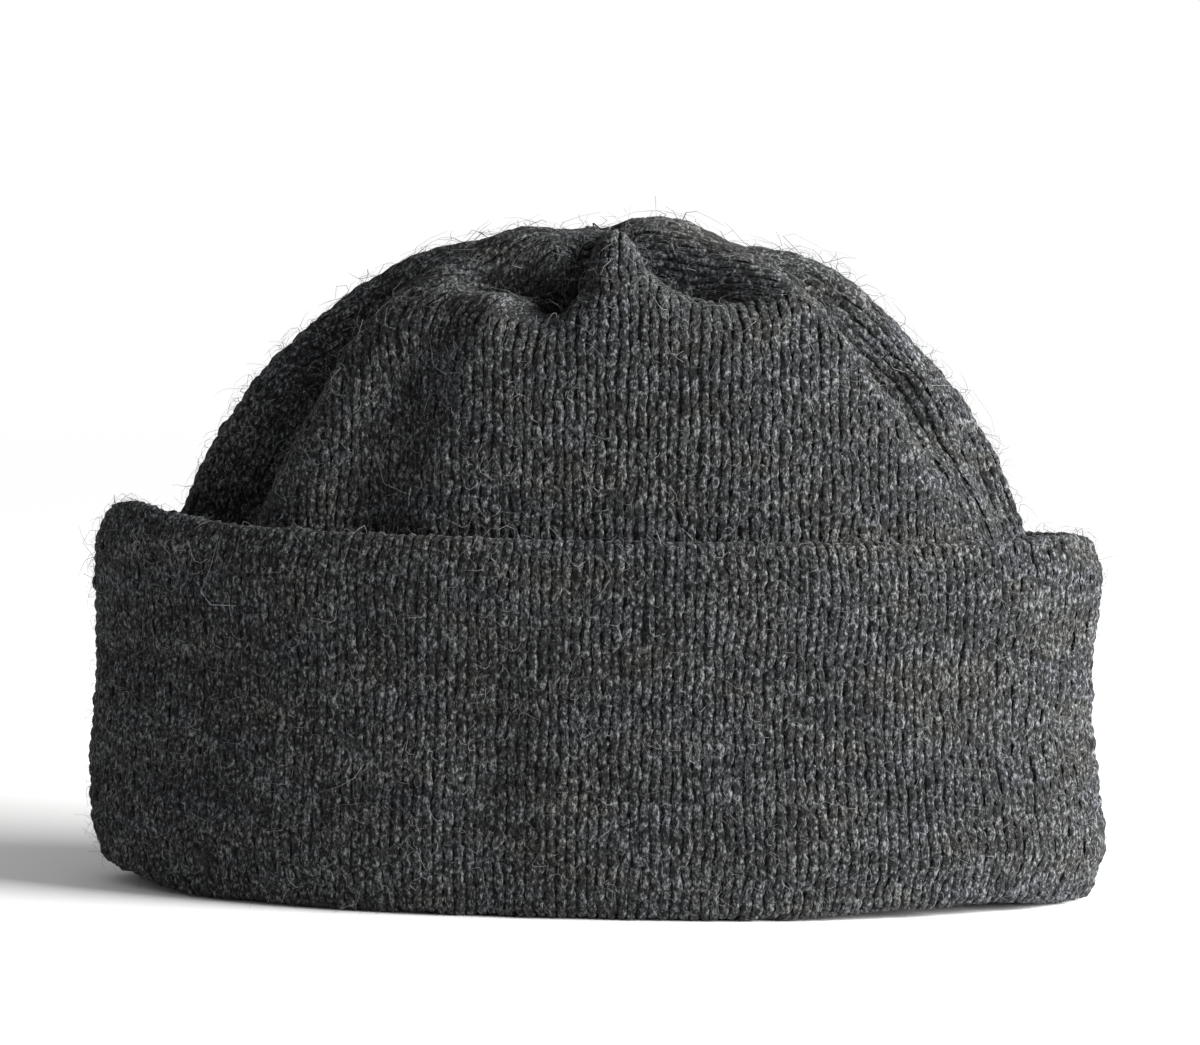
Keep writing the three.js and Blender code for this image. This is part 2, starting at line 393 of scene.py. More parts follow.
def storeValue(tree, geometry, name, value, kind="FLOAT"):
    return addNode(tree, "GeometryNodeStoreNamedAttribute",
                   {"Geometry": geometry, "Name": name, "Value": value},
                   data_type=kind, domain="POINT").outputs[0]


def readValue(tree, name, kind="FLOAT"):
    return addNode(tree, "GeometryNodeInputNamedAttribute", {"Name": name}, data_type=kind).outputs[0]


def addRandom(tree, seed, draw, low, high, kind="FLOAT"):
    # draw is the number that keeps this choice apart from the tree's others
    first = 0 if kind == "FLOAT_VECTOR" else 2
    node = addNode(tree, "FunctionNodeRandomValue",
                   {first: low, first + 1: high, "Seed": addMath(tree, "ADD", seed, draw)}, data_type=kind)
    return node.outputs[0 if kind == "FLOAT_VECTOR" else 1]


def addLine(tree, steps):
    # a line of points, and how far along it each of them lies, from 0 to 1
    line = addNode(tree, "GeometryNodeMeshLine", {"Count": addMath(tree, "ADD", steps, 1.0)}).outputs[0]
    index = addNode(tree, "GeometryNodeInputIndex").outputs[0]
    return line, addMath(tree, "DIVIDE", index, steps)


def moved(tree, geometry, **places):
    return addNode(tree, "GeometryNodeSetPosition", {"Geometry": geometry, **places}).outputs[0]


def addRing(tree, sides, radius):
    return addNode(tree, "GeometryNodeCurvePrimitiveCircle", {"Resolution": sides, "Radius": radius},
                   mode="RADIUS").outputs[0]


def addTube(tree, path, girth, ring, upright=False):
    path = storeValue(tree, path, "girth", girth)
    curve = addNode(tree, "GeometryNodeMeshToCurve", {"Mesh": path}).outputs[0]
    if upright:
        curve = addNode(tree, "GeometryNodeSetCurveNormal", {"Curve": curve}, mode="Z_UP").outputs[0]
    return addNode(tree, "GeometryNodeCurveToMesh",
                   {"Curve": curve, "Profile Curve": ring, "Scale": readValue(tree, "girth"),
                    "Fill Caps": True}).outputs[0]


def placeCopies(tree, points, copy, rotation, scale, material):
    copies = addNode(tree, "GeometryNodeInstanceOnPoints",
                     {"Points": points, "Instance": copy, "Rotation": rotation, "Scale": scale}).outputs[0]
    copies = addNode(tree, "GeometryNodeRealizeInstances", {"Geometry": copies}).outputs[0]
    copies = addNode(tree, "GeometryNodeSetMaterial", {"Geometry": copies, "Material": material}).outputs[0]
    tree.links.new(copies, tree.nodes.new("NodeGroupOutput").inputs[0])


def stitchTree():
    tree = bpy.data.node_groups.new("knit stitches", "GeometryNodeTree")
    given = addSockets(tree, (
        ("Geometry", ("Points",)),
        ("Float", ("Wale Width", "Course Height", "Yarn Width", "Yarn Height", "Foot Spread", "Head Spread",
                   "Start", "Reach", "Dip", "Turn", "Unevenness")),
        ("Int", ("Sides", "Steps", "Seed")),
        ("Material", ("Material",)),
    ), (("Geometry", ("Stitches",)),))

    # one leg: a bent yarn that leaves the cloth at its foot, crests and dives under the next row
    line, along = addLine(tree, given["Steps"])
    fromMiddle = addMath(tree, "SUBTRACT", addMath(tree, "MULTIPLY", along, 2.0), 1.0)
    fromMiddle = addMath(tree, "ABSOLUTE", fromMiddle)
    spread = addMath(tree, "SUBTRACT", given["Head Spread"], given["Foot Spread"])
    spread = addMath(tree, "MULTIPLY", spread, addMath(tree, "POWER", along, 0.8))
    x = addMath(tree, "MULTIPLY", addMath(tree, "ADD", given["Foot Spread"], spread), given["Wale Width"])
    y = addMath(tree, "ADD", given["Start"], addMath(tree, "MULTIPLY", along, given["Reach"]))
    y = addMath(tree, "MULTIPLY", y, given["Course Height"])
    z = addMath(tree, "MULTIPLY", addMath(tree, "POWER", fromMiddle, 2.2), given["Dip"])
    z = addMath(tree, "MULTIPLY", z, -1.0)
    path = moved(tree, line, Position=combined(tree, x, y, z))
    lengthwise = addMath(tree, "MULTIPLY", along, given["Reach"])
    lengthwise = addMath(tree, "MULTIPLY", lengthwise, given["Course Height"])
    path = storeValue(tree, path, "alongYarn", lengthwise)
    ring = addRing(tree, given["Sides"], 0.5)
    size = combined(tree, given["Yarn Width"], given["Yarn Height"], 1.0)
    ring = addNode(tree, "GeometryNodeTransform", {"Geometry": ring, "Scale": size}).outputs[0]
    position = addNode(tree, "GeometryNodeInputPosition").outputs[0]
    ring = storeValue(tree, ring, "aroundYarn", position, "FLOAT_VECTOR")
    thinner = addMath(tree, "MULTIPLY", addMath(tree, "POWER", fromMiddle, 2.5), -0.25)
    leg = addTube(tree, path, addMath(tree, "ADD", thinner, 1.0), ring, upright=True)
    around = readValue(tree, "aroundYarn", "FLOAT_VECTOR")
    parts = addNode(tree, "ShaderNodeSeparateXYZ", {0: around}).outputs
    fibre = combined(tree, parts[0], parts[1], readValue(tree, "alongYarn"))
    leg = storeValue(tree, leg, "fibre", fibre, "FLOAT_VECTOR")
    other = addNode(tree, "GeometryNodeTransform", {"Geometry": leg, "Scale": (-1.0, 1.0, 1.0)}).outputs[0]
    other = addNode(tree, "GeometryNodeFlipFaces", {"Mesh": other}).outputs[0]
    apart = addVector(tree, "ADD", fibre, (0.0, 0.0, 0.05))
    other = storeValue(tree, other, "fibre", apart, "FLOAT_VECTOR")
    both = tree.nodes.new("GeometryNodeJoinGeometry")
    tree.links.new(leg, both.inputs[0])
    tree.links.new(other, both.inputs[0])
    turn = combined(tree, 0.0, 0.0, given["Turn"])
    both = addNode(tree, "GeometryNodeTransform", {"Geometry": both.outputs[0], "Rotation": turn}).outputs[0]

    # the stitches: each a little shifted, turned and swollen
    def scatter(draw, reach):
        least = scaled(tree, tuple(-part for part in reach), given["Unevenness"])
        most = scaled(tree, reach, given["Unevenness"])
        return addRandom(tree, given["Seed"], draw, least, most, "FLOAT_VECTOR")

    points = moved(tree, given["Points"], Offset=scatter(1, stitch["shift"]))
    points = storeValue(tree, points, "tone", addRandom(tree, given["Seed"], 2, 0.0, 1.0))
    tilt = addNode(tree, "FunctionNodeEulerToRotation", {0: scatter(3, stitch["tilt"])}).outputs[0]
    swell = addVector(tree, "ADD", scatter(4, stitch["swell"]), (1.0, 1.0, 1.0))
    placeCopies(tree, points, both, tilt, swell, given["Material"])
    return tree


fuzz = {
    # the density counts hairs for each square millimetre of cloth
    "short": {"density": 0.135, "length": 4.4, "thickness": 0.09, "curl": 1.3, "lift": 0.9},
    "stray": {"density": 0.0022, "length": 12.0, "thickness": 0.075, "curl": 3.2, "lift": 2.4},
    "root": 0.25,  # height of the roots over the yarn's middle
    "rootShares": (0.2, 1.8),
    "sizeShares": (0.45, 1.35),
    "leanLow": (-0.9, -0.75, 0.0),  # radians
    "leanHigh": (0.9, 0.05, 6.283),
    "sides": 3,
    "steps": 4,
}


def hairTree():
    tree = bpy.data.node_groups.new("wool hairs", "GeometryNodeTree")
    given = addSockets(tree, (
        ("Geometry", ("Cloth",)),
        ("Float", ("Density", "Length", "Thickness", "Curl", "Lift", "Root")),
        ("Int", ("Sides", "Steps", "Seed")),
        ("Material", ("Material",)),
    ), (("Geometry", ("Hairs",)),))
    line, along = addLine(tree, given["Steps"])
    x = addMath(tree, "MULTIPLY", along, given["Length"])
    sideways = addMath(tree, "SINE", addMath(tree, "MULTIPLY", along, 4.4))
    y = addMath(tree, "MULTIPLY", sideways, given["Curl"])
    upward = addMath(tree, "SINE", addMath(tree, "MULTIPLY", along, 2.3))
    z = addMath(tree, "MULTIPLY", upward, given["Lift"])
    path = moved(tree, line, Position=combined(tree, x, y, z))
    girth = addMath(tree, "SUBTRACT", 1.0, addMath(tree, "MULTIPLY", along, 0.7))
    ring = addRing(tree, given["Sides"], addMath(tree, "MULTIPLY", given["Thickness"], 0.5))
    hair = addTube(tree, path, girth, ring)

    seed = given["Seed"]
    roots = addNode(tree, "GeometryNodeDistributePointsOnFaces",
                    {"Mesh": given["Cloth"], "Density": given["Density"], "Seed": seed},
                    distribute_method="RANDOM").outputs[0]
    up = addMath(tree, "MULTIPLY", given["Root"], addRandom(tree, seed, 5, *fuzz["rootShares"]))
    roots = moved(tree, roots, Offset=combined(tree, 0.0, 0.0, up))
    roots = storeValue(tree, roots, "tone", addRandom(tree, seed, 1, 0.0, 1.0))
    lean = addRandom(tree, seed, 2, fuzz["leanLow"], fuzz["leanHigh"], "FLOAT_VECTOR")
    lean = addNode(tree, "FunctionNodeEulerToRotation", {0: lean}).outputs[0]
    size = addRandom(tree, seed, 3, *fuzz["sizeShares"])
    placeCopies(tree, roots, hair, lean, size, given["Material"])
    return tree


def setInputs(modifier, values):
    for name, value in values.items():
        modifier[modifier.node_group.interface.items_tree[name].identifier] = value


def evaluatedMesh(name, source, nodes, values):
    # runs a node tree on a helper object and keeps its result as a plain mesh
    modifier = source.modifiers.new(name, "NODES")
    modifier.node_group = nodes
    setInputs(modifier, values)
    bpy.context.view_layer.update()
    mesh = bpy.data.meshes.new_from_object(source.evaluated_get(bpy.context.evaluated_depsgraph_get()))
    bpy.data.objects.remove(source)
    mesh.name = name
    return mesh


def wrapMesh(name, mesh, wrap, sides, steps, softness=0):
    # lays a flat mesh onto the form: x runs across the wales, y up them and z outwards
    flat = np.empty(len(mesh.vertices) * 3)
    mesh.vertices.foreach_get("co", flat)
    flat = flat.reshape(-1, 3) / mm
    flat[:, 0] += stitch["waver"] * sum(share * np.sin(rise * flat[:, 1] + run * flat[:, 0])
                                        for rise, run, share in stitch["waves"])
    step = 0.4
    base = wrap(flat[:, 0], flat[:, 1])
    across = wrap(flat[:, 0] + step, flat[:, 1]) - wrap(flat[:, 0] - step, flat[:, 1])
    upward = wrap(flat[:, 0], flat[:, 1] + step) - wrap(flat[:, 0], flat[:, 1] - step)
    normal = np.cross(across, upward)
    normal /= np.maximum(np.linalg.norm(normal, axis=-1, keepdims=True), 1e-9)
    points = (base + normal * flat[:, 2:]) * mm
    points[:, 2] = np.maximum(points[:, 2], stitch["pressed"] * mm)
    mesh.vertices.foreach_set("co", points.ravel())
    unrollUv(mesh, sides, steps)
    mesh.polygons.foreach_set("use_smooth", [True] * len(mesh.polygons))
    mesh.update()
    if softness:
        ownNormals = np.empty(len(mesh.vertices) * 3)
        mesh.vertex_normals.foreach_get("vector", ownNormals)
        soft = ownNormals.reshape(-1, 3) * (1 - softness) + normal * softness
        soft /= np.maximum(np.linalg.norm(soft, axis=-1, keepdims=True), 1e-9)
        mesh.normals_split_custom_set_from_vertices(soft.tolist())
    piece = bpy.data.objects.new(name, mesh)
    bpy.context.scene.collection.objects.link(piece)
    return piece


def wrapStitches(name, places, turn, seed, wrap, material):
    spots = newPiece(name + " spots", [(x, y, 0) for x, y in places], [])
    mesh = evaluatedMesh(name, spots, stitchNodes, {
        "Wale Width": stitch["waleWidth"] * mm,
        "Course Height": stitch["courseHeight"] * mm,
        "Yarn Width": stitch["yarnWidth"] * mm,
        "Yarn Height": stitch["yarnHeight"] * mm,
        "Foot Spread": stitch["footSpread"],
        "Head Spread": stitch["headSpread"],
        "Start": stitch["start"],
        "Reach": stitch["reach"],
        "Dip": stitch["dip"] * mm,
        "Turn": turn,
        "Unevenness": stitch["unevenness"],
        "Sides": stitch["sides"],
        "Steps": stitch["steps"],
        "Seed": seed,
        "Material": material,
    })
    return wrapMesh(name, mesh, wrap, stitch["sides"], stitch["steps"], stitch["softness"])


def wrapHairs(name, outline, seed, wrap, material, kind):
    # outline: left end, right end and height of each row of the flat panel
    points = [point for left, right, up in outline for point in ((left, up, 0), (right, up, 0))]
    faces = [(2 * i, 2 * i + 1, 2 * i + 3, 2 * i + 2) for i in range(len(outline) - 1)]
    panel = newPiece(name + " panel", points, faces)
    size = fuzz[kind]
    mesh = evaluatedMesh(name, panel, hairNodes, {
        "Density": size["density"] / mm ** 2,
        "Length": size["length"] * mm,
        "Thickness": size["thickness"] * mm,
        "Curl": size["curl"] * mm,
        "Lift": size["lift"] * mm,
        "Root": fuzz["root"] * mm,
        "Sides": fuzz["sides"],
        "Steps": fuzz["steps"],
        "Seed": seed,
        "Material": material,
    })
    return wrapMesh(name, mesh, wrap, fuzz["sides"], fuzz["steps"])


cell = {  # shares of the square cell that each unrolled tube has on the map
    "edge": 0.06,
    "width": 0.8,
    "height": 0.88,
    "capMiddle": 0.93,
    "capLevel": 0.1,
    "capRise": 0.7,
    "capRadius": 0.03,
}


def unrollUv(mesh, sides, steps):
    # every tube is unrolled in a cell of its own on one square, with its two end caps beside it
    tubePoints = sides * (steps + 1)
    corners = np.empty(len(mesh.loops), int)
    mesh.loops.foreach_get("vertex_index", corners)
    tube, place = corners // tubePoints, corners % tubePoints
    ring, side = place // sides, place % sides
    faceStart = np.empty(len(mesh.polygons), int)
    faceSize = np.empty(len(mesh.polygons), int)
    mesh.polygons.foreach_get("loop_start", faceStart)
    mesh.polygons.foreach_get("loop_total", faceSize)
    face = np.repeat(np.arange(len(faceSize)), faceSize)
    spread = np.maximum.reduceat(ring, faceStart)[face] - np.minimum.reduceat(ring, faceStart)[face]
    cap = spread == 0
    turned = np.maximum.reduceat(side, faceStart)[face] - np.minimum.reduceat(side, faceStart)[face]
    side = np.where(~cap & (turned == sides - 1) & (side == 0), sides, side)
    u = cell["edge"] + cell["width"] * side / sides
    v = cell["edge"] + cell["height"] * ring / steps
    angle = side * 2 * math.pi / sides
    capLevel = cell["capLevel"] + cell["capRise"] * (ring > 0)
    u = np.where(cap, cell["capMiddle"] + cell["capRadius"] * np.cos(angle), u)
    v = np.where(cap, capLevel + cell["capRadius"] * np.sin(angle), v)
    columns = math.ceil(math.sqrt(len(mesh.vertices) // tubePoints))
    spots = np.stack([(tube % columns + u) / columns, (tube // columns + v) / columns], -1)
    layer = mesh.uv_layers.new(name="OFBake")
    layer.data.foreach_set("uv", spots.astype(np.float32).ravel())


def cuffProfile():
    # the line that the yarn's middle follows: from inside the rim up the face, over the top, down behind
    deep = stitch["depth"]
    top = cuff["height"] - cloth["wall"] / 2
    low = stitch["yarnHeight"] / 2 + stitch["overTable"]
    bend = cuff["rimFlat"] + stitch["rimInset"] - deep
    line = []  # level and inset
    for angle in np.linspace(math.pi / 2, 0, 24):  # the rim's inner corner
        line.append((cuff["rimCorner"] - (cuff["rimCorner"] - low) * math.cos(angle),
                     cuff["rimWidth"] - deep - bend * (1 - math.sin(angle))))
    for angle in np.linspace(0, math.pi / 2, 24):
        line.append((cuff["rimCorner"] - (cuff["rimCorner"] - low) * math.cos(angle),
                     deep + bend * (1 - math.sin(angle))))
    faceStart = len(line) - 1
    for level in np.linspace(cuff["rimCorner"], top, 60)[1:]:
        line.append((level, deep))
    for angle in np.linspace(0, math.pi, 40)[1:]:
        line.append((top + (cloth["wall"] / 2 - deep) * math.sin(angle),
                     cloth["wall"] / 2 - (cloth["wall"] / 2 - deep) * math.cos(angle)))
    line.append((top - stitch["behind"] - stitch["spare"], cloth["wall"] - deep))
    line = np.array(line)
    run = np.concatenate([[0], np.cumsum(np.linalg.norm(np.diff(line, axis=0), axis=1))])
    return line, run, run[faceStart]


def cuffWrap():
    # across: millimetres round the cuff at its middle level; up: millimetres along the profile
    line, run, faceStart = cuffProfile()
    directions = np.linspace(-180, 540, 4321)
    ring = cuffPoint(directions, cuff["height"] / 2, stitch["depth"])[:, :2]
    walked = np.concatenate([[0], np.cumsum(np.linalg.norm(np.diff(ring, axis=0), axis=1))])
    walked -= np.interp(-90, directions, walked)

    def wrap(across, up):
        direction = np.interp(across, walked, directions)
        level = np.interp(up, run, line[:, 0])
        inset = np.interp(up, run, line[:, 1])
        return cuffPoint(direction, level, inset)

    perimeter = np.interp(270, directions, walked) - np.interp(-90, directions, walked)
    return wrap, perimeter, run[-1], faceStart


crownSeams = {  # descent, direction of the seam between two neighbouring panels
    "front left": ((10, 254), (22, 242), (28, 226), (34, 206), (41, 208), (49, 212), (58, 214), (66, 210),
                   (90, 207), (120, 205)),
    "front right": ((10, 292), (20, 298), (27, 312), (34, 324), (45, 326), (56, 328), (64, 336), (90, 336),
                    (120, 334)),
    "back left": ((10, 126), (22, 120), (30, 138), (36, 152), (60, 154), (120, 154)),
    "back right": ((10, 55), (24, 58), (32, 42), (38, 28), (60, 26), (120, 26)),
}
crownPanels = (  # name, middle direction, seam on its right, seam on its left as seen from outside
    ("front", 270, "front right", "front left"),
    ("left", 184, "front left", "back left"),
    ("back", 90, "back left", "back right"),
    ("right", 356, "back right", "front right"),
)
gore = {  # the net on which each of the crown's panels is measured
    "firstDescent": 0.3,
    "lastDescent": 110.0,
    "reach": 170,  # millimetres to each side
    "step": 2.0,
    "turn": 130,  # degrees to each side
}


def crownRows():
    # how far along the front meridian each descent lies, from where the stitches start
    descents = np.linspace(gore["firstDescent"], gore["lastDescent"], 600)
    meridian = smoothCrownPoint(np.full(600, -90.0), descents, stitch["depth"])
    run = np.concatenate([[0], np.cumsum(np.linalg.norm(np.diff(meridian, axis=0), axis=1))])
    start = np.interp(-stitch["crownStart"], -meridian[:, 2], run)
    return descents, start - run, start


def crownWrap(middle):
    descents, height, _ = crownRows()
    across = np.arange(-gore["reach"], gore["reach"] + 1, gore["step"])
    rows = np.concatenate([np.linspace(gore["firstDescent"], 12, 40),
                           np.linspace(12.5, gore["lastDescent"], 196)])
    turns = np.linspace(-gore["turn"], gore["turn"], 1041)
    table = crownPoint(middle + turns[None, :], rows[:, None], stitch["depth"])
    run = np.concatenate([np.zeros((len(rows), 1)),
                          np.cumsum(np.linalg.norm(np.diff(table, axis=1), axis=2), axis=1)], 1)
    run -= run[:, [len(turns) // 2]]
    lookup = np.array([np.interp(across, run[i], turns) for i in range(len(rows))])

    def wrap(sideways, up):
        descent = np.interp(-up, -height, descents)
        row = np.interp(descent, rows, np.arange(len(rows)))
        low = np.clip(row.astype(int), 0, len(rows) - 2)
        share = row - low
        column = np.clip((sideways - across[0]) / gore["step"], 0, len(across) - 1.001)
        left = column.astype(int)
        part = column - left
        turned = ((lookup[low, left] * (1 - part) + lookup[low, left + 1] * part) * (1 - share)
                  + (lookup[low + 1, left] * (1 - part) + lookup[low + 1, left + 1] * part) * share)
        return crownPoint(middle + turned, descent, stitch["depth"])

    def span(descent, seamRight, seamLeft):
        # the panel's reach to each side of its middle, in millimetres
        i = np.searchsorted(rows, descent)
        ends = []
        for seam in (seamLeft, seamRight):
            table = np.array(crownSeams[seam])
            direction = np.interp(descent, table[:, 0], table[:, 1])
            ends.append(np.interp(turnTo(middle, direction), turns, run[min(i, len(rows) - 1)]))
        return min(ends), max(ends)

    return wrap, span


wool = {
    "black": (0.0035, 0.0035, 0.0035, 1),
    "charcoal": (0.0108, 0.0109, 0.011, 1),
    "grey": (0.039, 0.0398, 0.0402, 1),
    "pale": (0.142, 0.1455, 0.147, 1),
    "blue": (0.95, 0.975, 1.06, 1),
    "olive": (1.0, 1.015, 0.95, 1),
    "hair": (0.2, 0.206, 0.208, 1),
    "stops": (0.38, 0.47, 0.57, 0.69),  # where black, charcoal, grey and pale lie on the mix of fibres
    "tintStops": (0.38, 0.62),
    "fleck": 0.72,  # millimetres, as the next ones
    "fibreAcross": 0.5,
    "fibreAlong": 1.15,
    "hairAcross": 0.2,
    "hairAlong": 0.9,
    "twistLength": 7.0,
    "patch": 17.0,
    "fleckSquash": 0.62,  # below 1 the flecks are taller than wide
    "bandSquash": (0.5, 0.5, 1.4),  # the patches are wide and low
    "coarseShare": 0.16,  # shares of the mix
    "fineShare": 0.16,
    "fleckShare": 0.68,
    "contrast": 1.5,
    "patchShare": 0.13,
    "toneShare": 0.06,
    "wales": 112,
    "crownCourses": 108,
    "cuffCourses": 76,
    "reliefHeight": 0.2,  # millimetres
    "ribHeight": 0.9,
    "roughness": 0.95,
    "specular": 0.12,
    "sheen": 0.04,
}


def addNoise(tree, vector, scale, detail, roughness):
    return addNode(tree, "ShaderNodeTexNoise", {"Vector": vector, "Scale": scale, "Detail": detail,
                                                "Roughness": roughness}).outputs[0]


def addRamp(tree, value, stops):
    # the stops are pairs of a position and a colour
    ramp = addNode(tree, "ShaderNodeValToRGB", {0: value})
    bar = ramp.color_ramp.elements
    bar[0].position, bar[0].color = stops[0]
    bar[1].position, bar[1].color = stops[-1]
    for position, color in stops[1:-1]:
        bar.new(position).color = color
    return ramp.outputs[0]


def swayed(tree, total, value, share):
    # moves the total by this share of how far the value lies from a half
    off = addMath(tree, "MULTIPLY", addMath(tree, "SUBTRACT", value, 0.5), share)
    return addMath(tree, "ADD", total, off)


def melangeGroup():
    # dark, grey and pale fibres spun together; Fibre runs along its z
    tree = bpy.data.node_groups.new("wool melange", "ShaderNodeTree")
    given = addSockets(tree, (
        ("Vector", ("Fibre", "Place")),
        ("Float", ("Tone", "Fibre Across", "Fibre Along", "Hair Across", "Hair Along", "Twist Length",
                   "Fleck", "Patch")),
    ), (("Color", ("Color",)), ("Float", ("Height",))))
    put = tree.nodes.new("NodeGroupOutput").inputs

    # the fibres wind round the yarn
    parts = addNode(tree, "ShaderNodeSeparateXYZ", {0: given["Fibre"]}).outputs
    turns = addMath(tree, "DIVIDE", parts[2], given["Twist Length"])
    turns = addMath(tree, "MULTIPLY", turns, 2 * math.pi)
    wound = addNode(tree, "ShaderNodeVectorRotate", {"Vector": given["Fibre"], "Angle": turns},
                    rotation_type="Z_AXIS").outputs[0]
    shift = combined(tree, addMath(tree, "MULTIPLY", given["Tone"], 0.37), 0.0, given["Tone"])
    wound = addVector(tree, "ADD", wound, shift)

    def fibreNoise(across, lengthwise, detail):
        wide = addMath(tree, "DIVIDE", 1.0, across)
        scale = combined(tree, wide, wide, addMath(tree, "DIVIDE", 1.0, lengthwise))
        return addNoise(tree, addVector(tree, "MULTIPLY", wound, scale), 1.0, detail, 0.6)

    coarse = fibreNoise(given["Fibre Across"], given["Fibre Along"], 1.5)
    fine = fibreNoise(given["Hair Across"], given["Hair Along"], 1.0)
    bands = addVector(tree, "MULTIPLY", given["Place"], wool["bandSquash"])
    patch = addNoise(tree, bands, addMath(tree, "DIVIDE", 1.0, given["Patch"]), 3.0, 0.6)
    tall = addVector(tree, "MULTIPLY", given["Place"], (1.0, 1.0, wool["fleckSquash"]))
    fleck = addNoise(tree, tall, addMath(tree, "DIVIDE", 1.0, given["Fleck"]), 2.5, 0.7)
    coarsePart = addMath(tree, "MULTIPLY", coarse, wool["coarseShare"])
    mixed = addMath(tree, "ADD", coarsePart, addMath(tree, "MULTIPLY", fine, wool["fineShare"]))
    mixed = addMath(tree, "ADD", mixed, addMath(tree, "MULTIPLY", fleck, wool["fleckShare"]))
    mixed = swayed(tree, 0.5, mixed, wool["contrast"])
    mixed = swayed(tree, mixed, patch, wool["patchShare"])
    mixed = swayed(tree, mixed, given["Tone"], wool["toneShare"])
    colors = [wool[name] for name in ("black", "charcoal", "grey", "pale")]
    spun = addRamp(tree, mixed, list(zip(wool["stops"], colors)))

    # the wool leans to blue in some places and to olive in others
    elsewhere = addVector(tree, "ADD", bands, (0.3, 0.1, 0.7))
    shade = addNoise(tree, elsewhere, addMath(tree, "DIVIDE", 1.7, given["Patch"]), 2.0, 0.5)
    tint = addRamp(tree, shade, list(zip(wool["tintStops"], (wool["blue"], wool["olive"]))))
    tinted = addNode(tree, "ShaderNodeMix", {0: 1.0, 6: spun, 7: tint},
                     data_type="RGBA", blend_type="MULTIPLY")
    tree.links.new(tinted.outputs[2], put["Color"])
    height = addMath(tree, "ADD", addMath(tree, "MULTIPLY", fine, 0.5), fleck)
    tree.links.new(height, put["Height"])
    return tree


def knitGroup():
    # rows of stitches drawn on the unrolled skin: height 0 in the grooves and 1 on the yarns; the skin's
    # material also uses it to paint shade into the grooves
    tree = bpy.data.node_groups.new("knit relief", "ShaderNodeTree")
    given = addSockets(tree, (("Vector", ("Unrolled",)), ("Float", ("Wales", "Courses"))),
                       (("Float", ("Height",)),))
    parts = addNode(tree, "ShaderNodeSeparateXYZ", {0: given["Unrolled"]}).outputs
    wale = addMath(tree, "MULTIPLY", parts[0], given["Wales"])
    legs = addMath(tree, "ABSOLUTE", addMath(tree, "SINE", addMath(tree, "MULTIPLY", wale, 2 * math.pi)))
    slant = addMath(tree, "ABSOLUTE", addMath(tree, "SUBTRACT", addMath(tree, "FRACT", wale), 0.5))
    course = addMath(tree, "ADD", addMath(tree, "MULTIPLY", parts[1], given["Courses"]), slant)
    course = addMath(tree, "ABSOLUTE", addMath(tree, "SINE", addMath(tree, "MULTIPLY", course, math.pi)))
    course = addMath(tree, "MULTIPLY", addMath(tree, "POWER", course, 0.5), 0.45)
    course = addMath(tree, "ADD", course, 0.55)
    height = addMath(tree, "MULTIPLY", addMath(tree, "POWER", legs, 0.6), course)
    tree.links.new(height, tree.nodes.new("NodeGroupOutput").inputs["Height"])
    return tree


def woolMaterial(name, melange, knit=None, courses=0):
    # with knit the rows are drawn as relief and the base colour is darkened in the grooves as painted shade;
    # without it the fibres follow the modelled yarn
    material = bpy.data.materials.new(name)
    material.use_nodes = True
    tree = material.node_tree
    shader = tree.nodes["Principled BSDF"]
    place = addNode(tree, "ShaderNodeTexCoord").outputs["Object"]
    fibre, tone = place, 0.5
    if knit is None:
        fibre = addNode(tree, "ShaderNodeAttribute", attribute_name="fibre").outputs["Vector"]
        tone = addNode(tree, "ShaderNodeAttribute", attribute_name="tone").outputs["Fac"]
    fibres = addNode(tree, "ShaderNodeGroup", node_tree=melange)
    sizes = {label: wool[key] * mm for label, key in (
        ("Fibre Across", "fibreAcross"),
        ("Fibre Along", "fibreAlong"),
        ("Hair Across", "hairAcross"),
        ("Hair Along", "hairAlong"),
        ("Twist Length", "twistLength"),
        ("Fleck", "fleck"),
        ("Patch", "patch"),
    )}
    connect(tree, fibres, {"Fibre": fibre, "Place": place, "Tone": tone, **sizes})
    relief = addNode(tree, "ShaderNodeBump", {"Height": fibres.outputs["Height"], "Strength": 0.75,
                                              "Distance": wool["reliefHeight"] * mm})
    color = fibres.outputs["Color"]
    if knit is not None:
        rows = addNode(tree, "ShaderNodeGroup", node_tree=knit)
        unrolled = addNode(tree, "ShaderNodeUVMap", uv_map="OFBake").outputs[0]
        connect(tree, rows, {"Unrolled": unrolled, "Wales": wool["wales"], "Courses": courses})
        height = rows.outputs["Height"]
        # painted shade: the base colour falls to a fifth in the grooves between the rows and wales
        color = scaled(tree, color, addMath(tree, "ADD", addMath(tree, "MULTIPLY", height, 0.8), 0.2))
        ribs = addNode(tree, "ShaderNodeBump", {"Height": height, "Strength": 1.0,
                                                "Distance": wool["ribHeight"] * mm})
        tree.links.new(ribs.outputs[0], relief.inputs["Normal"])
    connect(tree, shader, {
        "Base Color": color,
        "Normal": relief.outputs[0],
        "Roughness": wool["roughness"],
        "Specular IOR Level": wool["specular"],
        "Sheen Weight": wool["sheen"],
        "Sheen Roughness": 0.6,
    })
    return material


def hairMaterial():
    material = bpy.data.materials.new("loose wool hairs")
    material.use_nodes = True
    tree = material.node_tree
    tone = addNode(tree, "ShaderNodeAttribute", attribute_name="tone").outputs["Fac"]
    color = addRamp(tree, tone, ((0.3, wool["charcoal"]), (1.0, wool["hair"])))
    connect(tree, tree.nodes["Principled BSDF"], {"Base Color": color, "Roughness": 0.7,
                                                  "Specular IOR Level": 0.3})
    return material


studio = {
    "ambient": 0.45,
    "floorSpan": 3.0,  # metres
    "floorColor": (0.86, 0.86, 0.855, 1),
    "whiteFrom": 0.25,  # metres from the hat where the floor starts to fade into the white behind it
    "whiteTo": 0.9,
}


